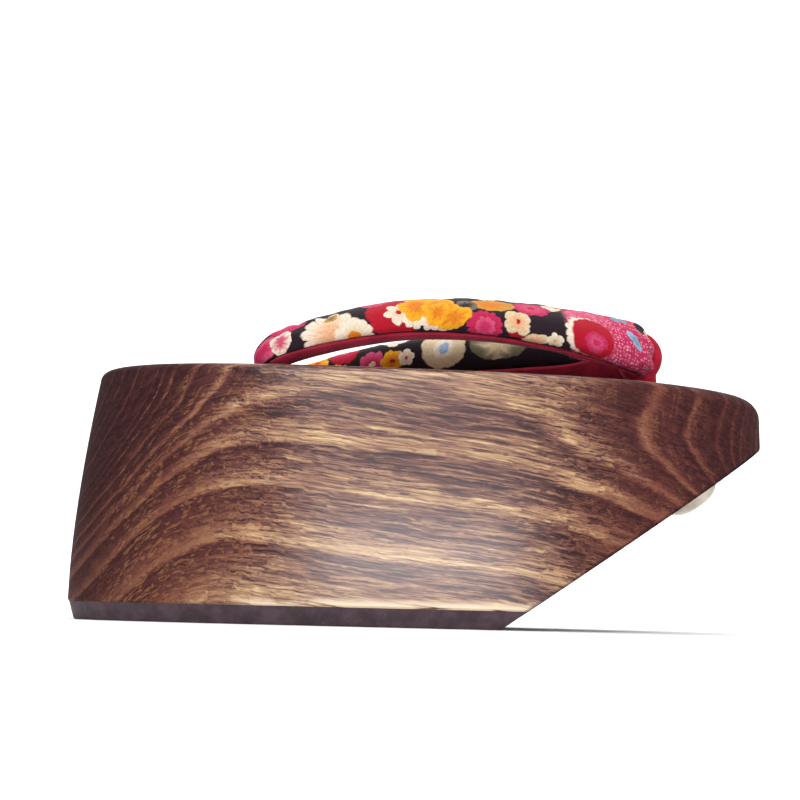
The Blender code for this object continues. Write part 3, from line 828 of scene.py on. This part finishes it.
def sweepBothArms(bm, sections, ringOf, verts, edges):
    # one ring after another from the end of one arm through the middle of the V to the end of the other
    along, around = bm.verts.layers.float["along"], bm.verts.layers.float["around"]
    order = bm.verts.layers.int["order"]
    for i, vert in enumerate(verts):
        vert[order] = i
    path = [(s, -1) for s in sections[:0:-1]] + [(s, 1) for s in sections]
    for step, (section, side) in enumerate(path):
        if step:
            verts, edges = growRing(bm, edges)
        points, seam = ringOf(section, side)
        lengths = [0.0]
        for first, second in zip(points, points[1:]):
            lengths.append(lengths[-1] + (second - first).length)
        for vert in verts:
            vert.co = points[vert[order]]
            vert[along] = section["along"] * side
            vert[around] = lengths[seam] - lengths[vert[order]]


def mapCloth(bm):
    along, around = bm.verts.layers.float["along"], bm.verts.layers.float["around"]
    cloth = bm.loops.layers.uv.new("cloth")
    for face in bm.faces:
        for loop in face.loops:
            loop[cloth].uv = (loop.vert[along] / mm, loop.vert[around] / mm)


def makeStrap(sections):
    bm = newClothMesh()
    verts = bmesh.ops.create_circle(bm, segments=strap["segments"], radius=0.01)["verts"]
    sweepBothArms(bm, sections, strapRing, verts, list(bm.edges))
    mapCloth(bm)
    closeHoles(bm)
    return toPiece("paddedStrap", bm, 60)


def makeBacking(sections):
    bm = newClothMesh()
    row = [bm.verts.new((0, i, 0)) for i in range(backing["points"])]
    edges = [bm.edges.new(pair) for pair in zip(row, row[1:])]
    sweepBothArms(bm, [s for s in sections if s["backed"]], backingRing, row, edges)
    mapCloth(bm)
    piece = toPiece("strapBacking", bm, 60)
    addModifier(piece, "clothThickness", "SOLIDIFY", thickness=backing["cloth"], offset=-1)
    return piece


# printed flowers, the lowest first; places and reach are in mm along and around the strap
cream, white, peach = (0.62, 0.48, 0.31, 1), (0.72, 0.60, 0.48, 1), (0.66, 0.34, 0.18, 1)
pink, rose, crimson = (0.52, 0.066, 0.148, 1), (0.45, 0.016, 0.080, 1), (0.37, 0.003, 0.016, 1)
yellow, orange, gold = (0.74, 0.33, 0.010, 1), (0.58, 0.16, 0.008, 1), (0.50, 0.25, 0.035, 1)
blue, teal, olive = (0.27, 0.38, 0.56, 1), (0.13, 0.27, 0.36, 1), (0.15, 0.13, 0.080, 1)
plum = (0.014, 0.006, 0.010, 1)
flowerSockets = ("Reach", "Stretch", "Turn", "Petals", "Notch", "Tip", "Throat", "Heart", "HeartSize")
flowers = (
    (17, 13, 28.5, 1, 0, 5, 0.04, pink, rose),  # the large patch by the thong
    (38, 7.6, 8.3, 1.05, 10, 17, 0.1, white, white),
    (36.4, 7.6, 7.6, 1, 45, 4, 0.06, crimson, crimson),
    (35.4, 6, 3.9, 1, 0, 11, 0.16, rose, pink, rose, 0.3),
    (22.3, 21.6, 3.8, 2.4, 8, 2, 0, teal, teal),
    (20, 12.4, 3.9, 2.1, -46, 2, 0, blue, teal),
    (13, 20.5, 3.6, 1.3, 30, 5, 0.2, plum, plum),
    (9.5, 17.5, 3.4, 1.4, 60, 3, 0.1, cream, cream),
    (50, 17, 4.8, 2.1, 24, 2, 0, cream, white),
    (55.4, 1.2, 4.6, 2.1, 12, 2, 0, cream, peach),
    (49.2, 2.4, 3, 1.1, 0, 5, 0.3, white, cream, peach, 0.2),
    (57, 14, 6.8, 1.6, 8, 6, 0.22, rose, pink, crimson, 0.2),
    (70, 12.8, 8, 2.1, 10, 3, 0.1, gold, orange),
    (62, 2.2, 3, 1.3, 0, 5, 0.2, crimson, crimson),
    (62.2, 6, 4.8, 1, 45, 4, 0.34, cream, peach, crimson, 0.16),
    (72.7, 2.8, 5.8, 1, 0, 15, 0.18, rose, crimson, pink, 0.22),
    (72.7, 2.8, 3.4, 1, 12, 9, 0.22, pink, rose, rose, 0.3),
    (78.4, 10.6, 4.2, 1.3, 35, 3, 0.12, olive, plum),
    (101, 6.4, 9, 1, 0, 10, 0.08, crimson, crimson),
    (107, 14.5, 4.6, 1.3, 0, 6, 0.25, pink, rose, gold, 0.2),
    (99.6, 6.6, 4.6, 1, 12, 6, 0.4, white, cream, crimson, 0.22),
    (94.8, 4.2, 4, 1.1, 40, 6, 0.42, white, white, crimson, 0.26),
    (90, 2.8, 3.8, 1.1, 0, 6, 0.4, white, cream, crimson, 0.2),
    (86, 2, 3.4, 1.1, 20, 5, 0.36, white, white, crimson, 0.18),
    (89, 15.6, 5.4, 1.4, 15, 6, 0.26, cream, pink, cream, 0.2),
    (93.7, 9.6, 6.8, 1.15, 70, 5, 0.32, yellow, orange, orange, 0.12),
    (86.6, 9.6, 6.2, 1.2, 20, 5, 0.3, yellow, orange),
    (82.4, 5, 6.6, 1.9, 34, 2, 0, yellow, orange),
    (87.6, 6.6, 5.4, 1.8, 62, 2, 0, yellow, orange),
    (121, 1.2, 10, 1.05, 12, 13, 0.2, white, peach),
    (114.6, -0.4, 6.6, 1, 8, 11, 0.15, white, cream, orange, 0.34),
    (120.6, 8.2, 2.5, 1.7, 20, 2, 0, gold, olive),
    (134, 11.5, 6.4, 1.3, 0, 7, 0.2, rose, pink, pink, 0.2),
    (142.5, 4.6, 5.4, 1.2, 20, 5, 0.18, pink, rose, rose, 0.18),
    (137, 3.6, 5, 1.7, 62, 3, 0.06, white, pink),
    (108, 31.5, 5.8, 1.1, 0, 8, 0.22, pink, rose, cream, 0.22),
    (100, 32.5, 4.8, 1.1, 0, 5, 0.26, yellow, orange, crimson, 0.18),
    (94.4, 32.5, 3.4, 1, 30, 5, 0.3, white, cream, rose, 0.2),
    (80, 30.8, 8.6, 1, 45, 4, 0.05, cream, cream),
    (80, 30.8, 4, 1, 0, 8, 0.1, white, white, blue, 0.52),
    (59, 31.5, 11, 1.9, 4, 2, 0, olive, cream),
    (44, 30.5, 3.8, 1.2, 0, 5, 0.28, white, pink, peach, 0.2),
    (30, 31, 5.6, 1, 0, 6, 0.26, yellow, orange, crimson, 0.2),
    (122, 31, 5.4, 1, 0, 7, 0.24, yellow, orange, rose, 0.2),
    (133, 29, 5.2, 1, 0, 9, 0.2, white, peach, gold, 0.24),
    (117, 21, 6.4, 1, 0, 12, 0.16, crimson, rose, gold, 0.26),
    (128, 20, 5, 1, 10, 5, 0.28, yellow, orange, crimson, 0.2),
    (98, 22.5, 4.8, 1, 0, 5, 0.3, white, cream, rose, 0.24),
    (71, 22, 5.6, 1, 0, 9, 0.22, cream, peach, rose, 0.24),
    (84, 21, 4.4, 1, 20, 6, 0.26, rose, crimson, gold, 0.24),
    (45, 24, 5.6, 1, 0, 7, 0.26, crimson, rose, yellow, 0.22),
)


def layFlower(tree, under, place, row):
    along, around, *rest = row
    flower = {"HeartSize": -1, **dict(zip(flowerSockets, rest))}  # below 0 there is no heart
    flower["Turn"] = radians(flower["Turn"])
    return useGroup(tree, flowerOver, Under=under, Place=place, Middle=(along, around, 0), **flower)


def tieDye(tree, colour, place, patch, wobble):
    # pale dots, stronger and weaker over the patch
    cells = addNode(tree, "TexVoronoi", place, feature="F1")
    cells.inputs["Scale"].default_value = strap["dotScale"]
    cells.inputs["Randomness"].default_value = strap["dotScatter"]
    dots = times(tree, spread(tree, cells.outputs["Distance"], 0.42, 0.30), patch)
    dots = times(tree, dots, spread(tree, wobble, 0.35, 0.6, 0.25, 0.75))
    return blend(tree, dots, colour, strap["dotColour"])


def makePrint():
    material, tree, shader = newMaterial("flowerPrint", strap["finish"])
    place = clothPlace(tree)
    u, v, _ = splitAxes(tree, place)
    wobble = cloudy(tree, place, 0.4)
    wobbleAcross = cloudy(tree, vectorCalc(tree, "ADD", place, (31, 17, 0)), 0.4)
    sway = strap["printSway"]
    swayed = joinAxes(tree, *(timesPlus(tree, w, sway, -sway / 2) for w in (wobble, wobbleAcross)))
    arm = vectorCalc(tree, "ADD", joinAxes(tree, calc(tree, "ABSOLUTE", u), v), swayed)
    colour = plum
    for i, row in enumerate(flowers):
        laid = layFlower(tree, colour, arm, row)
        colour, arm = laid["Colour"], laid["Place"]
        if i == 0:
            colour = tieDye(tree, colour, arm, laid["Mask"], wobble)
    weaveCloth(tree, shader, place, colour, strap)
    return material


def makeBackingCloth():
    material, tree, shader = newMaterial("crimsonBacking", backing["finish"])
    place = clothPlace(tree)
    colour, _ = mottled(tree, place, backing, 0.3, 0.7)
    weaveCloth(tree, shader, place, colour, backing)
    return material


sections = strapSections()
paddedStrap = makeStrap(sections)
dress(paddedStrap, makePrint(), "padded_strap")
strapBacking = makeBacking(sections)
dress(strapBacking, makeBackingCloth(), "strap_backing")
print("strap made")


# front thong: a stuffed loop round the strap, its stem and the flat knot under the toe
thong = {
    "width": 9.0 * mm, "clearance": 0.4 * mm, "laps": 56, "segments": 28,
    "thickness": (5.2, 3.0, 2.8, 3.4),  # mm at the front, top, back and bottom
    "stem": ((-9.0, 4.7), (-4.0, 4.8), (0.5, 4.4), (6.0, 3.9), (33.5, 3.6)),  # mm down the hole, radius
    "stemBack": Vector((0.4, 0, 0)), "plateX": 93.1 * mm,
    "knot": ((0.75, 0.5), (1.0, 1.7), (0.7, 3.4)), "knotRadius": 6.6 * mm,  # share of radius, mm out
    "voxel": 0.45 * mm, "soften": 6, "mottle": 0.9, "bump": (0.35, 0.15 * mm),
    "finish": {"Specular IOR Level": 0.2, "Sheen Weight": 0.6, "Sheen Roughness": 0.35, "Roughness": 0.85,
               "Sheen Tint": (1.0, 0.25, 0.3, 1)},
    "patches": ((0.28, 0.006, 0.020, 1), (0.46, 0.012, 0.040, 1)),
}


def thongThickness(angle):
    quarterTurn = pi / 2
    quarter = int(angle // quarterTurn) % 4
    low, high = thong["thickness"][quarter], thong["thickness"][(quarter + 1) % 4]
    return (low + (high - low) * ease(0, quarterTurn, angle - quarter * quarterTurn)) * mm


def addThongLoop(bm, middle):
    halfHeight, halfDepth = (half + thong["clearance"] for half in middle["half"])

    def place(turn, lap):
        angle = tau * lap / thong["laps"]
        half = thongThickness(angle) / 2
        forward, rise = middle["face"] * cos(angle), middle["across"] * sin(angle)
        outward = (forward * halfHeight + rise * halfDepth).normalized()
        centre = middle["centre"] + forward * halfDepth + rise * halfHeight + outward * half
        sideways = Vector((0, thong["width"] / 2 * sin(turn), 0))
        return centre + outward * half * cos(turn) + sideways

    first, last = loft(bm, thong["segments"], range(thong["laps"]), place)
    bmesh.ops.bridge_loops(bm, edges=first + last)


def stemRings():
    axis = (slantPoint(frontHole["bottomX"]) - frontHole["top"]).normalized()
    for along, radius in thong["stem"]:
        above = along < 0
        way = -upward * along - thong["stemBack"] if above else axis * along
        yield frontHole["top"] + way * mm, -upward if above else axis, radius * mm
    for share, out in thong["knot"]:
        yield slantPoint(thong["plateX"], out * mm), slantNormal, thong["knotRadius"] * share


def addThongStem(bm):
    def place(turn, ring):
        centre, axis, radius = ring
        spoke = Vector((cos(turn), sin(turn), 0))
        return centre + upward.rotation_difference(axis) @ spoke * radius

    loft(bm, thong["segments"], stemRings(), place)
    closeHoles(bm)


def makeThong(middle):
    bm = bmesh.new()
    addThongLoop(bm, middle)
    addThongStem(bm)
    piece = toPiece("frontThong", bm, 80)
    addModifier(piece, "joinStem", "REMESH", mode="VOXEL", voxel_size=thong["voxel"])
    addModifier(piece, "soften", "SMOOTH", iterations=thong["soften"])
    bakeModifiers(piece)
    smoothPiece(piece, 80)
    return piece


def makeVelvet():
    material, tree, shader = newMaterial("redVelvet", thong["finish"])
    colour, spots = mottled(tree, objectPlace(tree), thong, 0.3, 0.7)
    feed(tree, shader["Base Color"], colour)
    addBump(tree, shader, spots["Speck"], thong)
    return material


frontThong = makeThong(sections[0])
dress(frontThong, makeVelvet(), "front_thong")
print("front thong made")


# pressed metal plate under the toe, with its nails
plate = {
    "halfLength": 10.6 * mm, "halfWidth": 9.4 * mm, "height": 4.4 * mm, "power": 3.2, "rim": 3.0 * mm,
    "sheet": 0.8 * mm, "gap": 0.3 * mm, "steps": 16, "segments": 72, "edge": 0.25 * mm,
    "finish": {"Metallic": 1.0}, "mottle": 2.2, "brushing": (0.2, 3.0, 0.2), "brushScale": 1.2,
    "patches": ((0.50, 0.45, 0.38, 1), (0.34, 0.29, 0.23, 1)), "bump": (0.06, 0.1 * mm),
}


def makePlate():
    length, width = plate["halfLength"], plate["halfWidth"]
    profile = [(length + rim, width + rim, 0.0) for rim in (plate["rim"], plate["rim"] / 2)]
    for step in range(plate["steps"]):
        share = 1 - step / plate["steps"]
        profile.append((length * share, width * share, plate["height"] * (1 - share ** plate["power"])))

    def place(turn, ring):
        ringLength, ringWidth, out = ring
        centre = slantPoint(thong["plateX"], plate["gap"] + plate["sheet"] + out)
        sideways = Vector((0, ringWidth * sin(turn), 0))
        return centre + slantAlong * ringLength * cos(turn) + sideways

    bm = bmesh.new()
    _, last = loft(bm, plate["segments"], profile, place)
    bmesh.ops.edgeloop_fill(bm, edges=last)
    piece = toPiece("metalToePlate", bm, 50)
    addModifier(piece, "sheetThickness", "SOLIDIFY", thickness=plate["sheet"], offset=-1)
    addModifier(piece, "rolledEdge", "BEVEL", width=plate["edge"], segments=2, limit_method="ANGLE",
                angle_limit=radians(60))
    return piece


def makeMetal():
    material, tree, shader = newMaterial("satinPlating", plate["finish"])
    place = objectPlace(tree)
    colour, _ = mottled(tree, place, plate, 0.35, 0.75)
    scratch = cloudy(tree, vectorCalc(tree, "MULTIPLY", place, plate["brushing"]), plate["brushScale"])
    feed(tree, shader["Base Color"], colour)
    feed(tree, shader["Roughness"], spread(tree, scratch, 0.3, 0.7, 0.22, 0.42))
    addBump(tree, shader, scratch, plate)
    return material


metalToePlate = makePlate()
satinPlating = makeMetal()
dress(metalToePlate, satinPlating, "metal_toe_plate")
for nailName in ("plate_nail_upper", "plate_nail_lower"):
    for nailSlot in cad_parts[nailName].material_slots:
        nailSlot.material = satinPlating
print("metal plate made")


# floor sweep, lights and camera
studio = {
    "floorFront": -1.2, "floorBack": 1.6, "bend": 0.8, "bendSteps": 12, "wall": 3.2, "halfWidth": 1.25,
    "paper": {"Base Color": (0.92, 0.92, 0.92, 1), "Roughness": 0.9, "Specular IOR Level": 0.1},
    "room": 0.30, "backdrop": 0.75,  # the room's own light, and the extra white seen behind the floor
    # name, place, aim, width, height, watts, colour
    "softboxes": (
        ("overheadBox", (0.0, -0.2, 2.6), (0.0, -0.1, 0.0), 5.0, 4.0, 95, (1, 1, 1)),
        ("keyBox", (-0.25, -1.5, 1.05), (0.0, 0.0, 0.05), 1.0, 0.7, 14, (1, 1, 1)),
        ("glossBox", (0.05, -1.3, 0.12), (0.0, 0.0, 0.03), 0.46, 0.20, 3.7, (0.91, 0.95, 1.0)),
        ("wallBox", (0.0, 0.9, 1.9), (0.0, 2.4, 0.5), 3.2, 0.8, 50, (1, 1, 1)),
    ),
}
view = {
    "eye": (-0.015, -0.430, 0.005), "aim": (-0.0077, 0.0, 0.0777), "roll": radians(1.39),
    "camera": {"lens": 56.2, "sensor_width": 36.0, "clip_start": 0.01},
}


def makeSweep():
    bm = bmesh.new()
    ends = [bm.verts.new((x, studio["floorFront"], 0)) for x in (-studio["halfWidth"], studio["halfWidth"])]
    edges = [bm.edges.new(ends)]
    back, bend = studio["floorBack"], studio["bend"]
    path = [(back, 0.0)]
    for step in range(1, studio["bendSteps"] + 1):
        angle = pi / 2 * step / studio["bendSteps"]
        path.append((back + bend * sin(angle), bend * (1 - cos(angle))))
    path.append((back + bend, studio["wall"]))
    for y, z in path:
        verts, edges = growRing(bm, edges)
        for vert in verts:
            vert.co.y, vert.co.z = y, z
    sweep = toPiece("paperSweep", bm, 60)
    sweep.data.materials.append(newMaterial("paperWhite", studio["paper"])[0])


def addSoftbox(name, place, aim, width, height, power, colour):
    shape = {"shape": "RECTANGLE", "size": width, "size_y": height}
    light = setAll(bpy.data.lights.new(name, "AREA"), {**shape, "energy": power, "color": colour})
    lamp = bpy.data.objects.new(name, light)
    lamp.location = place
    lamp.rotation_euler = (Vector(aim) - Vector(place)).to_track_quat("-Z", "Y").to_euler()
    bpy.context.scene.collection.objects.link(lamp)


def lightStudio():
    world = bpy.data.worlds.new("softRoom")
    world.use_nodes = True
    room = world.node_tree
    rays = addNode(room, "LightPath")
    background = room.nodes["Background"].inputs
    background["Color"].default_value = (1, 1, 1, 1)
    strength = timesPlus(room, rays.outputs["Is Camera Ray"], studio["backdrop"], studio["room"])
    feed(room, background["Strength"], strength)
    bpy.context.scene.world = world
    for softbox in studio["softboxes"]:
        addSoftbox(*softbox)
    bpy.context.scene.view_settings.view_transform = "Standard"


def placeCamera():
    data = setAll(bpy.data.cameras.new("photoCamera"), view["camera"])
    camera = bpy.data.objects.new("photoCamera", data)
    eye, aim = Vector(view["eye"]), Vector(view["aim"])
    look = (aim - eye).to_track_quat("-Z", "Y").to_matrix().to_4x4()
    camera.matrix_world = Matrix.Translation(eye) @ look @ Matrix.Rotation(view["roll"], 4, "Z")
    bpy.context.scene.collection.objects.link(camera)
    bpy.context.scene.camera = camera


makeSweep()
lightStudio()
placeCamera()
print("studio ready")
